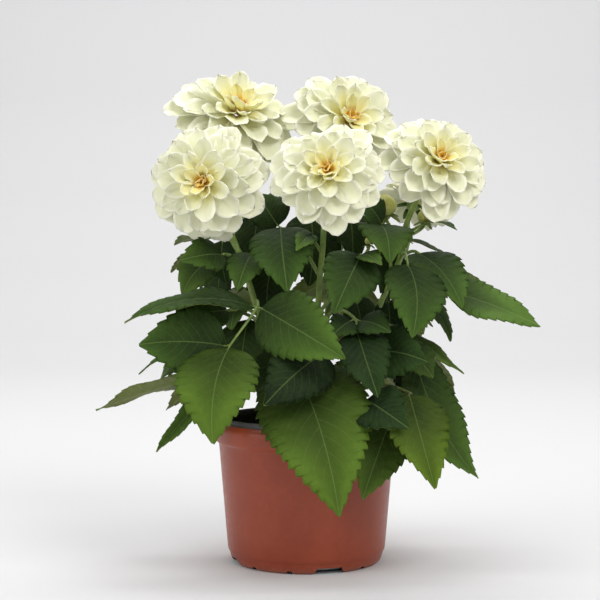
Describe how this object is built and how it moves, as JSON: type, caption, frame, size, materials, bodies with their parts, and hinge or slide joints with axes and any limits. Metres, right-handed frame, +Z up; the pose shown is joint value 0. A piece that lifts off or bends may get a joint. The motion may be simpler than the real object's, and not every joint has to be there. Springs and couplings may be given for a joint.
{
  "type": "potted dahlia",
  "caption": "Compact flowering dahlia in a nursery pot: tapered plastic pot, soil, leafy stems with toothed leaves, double blooms and buds.",
  "frame": {"origin": "centre of the pot's flat underside", "axes": "+Z up along the pot's axis, -Y towards the front of the plant, +X to the right of the front"},
  "size_m": [0.3062, 0.2116, 0.3525],
  "materials": {
    "pot": "satin",
    "soil": "matte",
    "leaf": "satin",
    "petal": "satin",
    "bud": "satin"
  },
  "bodies": {
    "root": {"pot": "pot", "soil": "soil", "leafy_stem_front_left": "leaf", "leafy_stem_front": "leaf", "leafy_stem_right": "leaf", "leafy_stem_back_left": "leaf", "leafy_stem_back": "leaf", "leafy_stem_back_right": "leaf", "bloom_front_left": "petal", "bloom_front": "petal", "bloom_right": "petal", "bloom_back_left": "petal", "bloom_back": "petal", "bloom_back_right": "petal", "bud_front_1": "bud", "bud_right_1": "bud", "bud_right_2": "bud"}
  },
  "joints": []
}
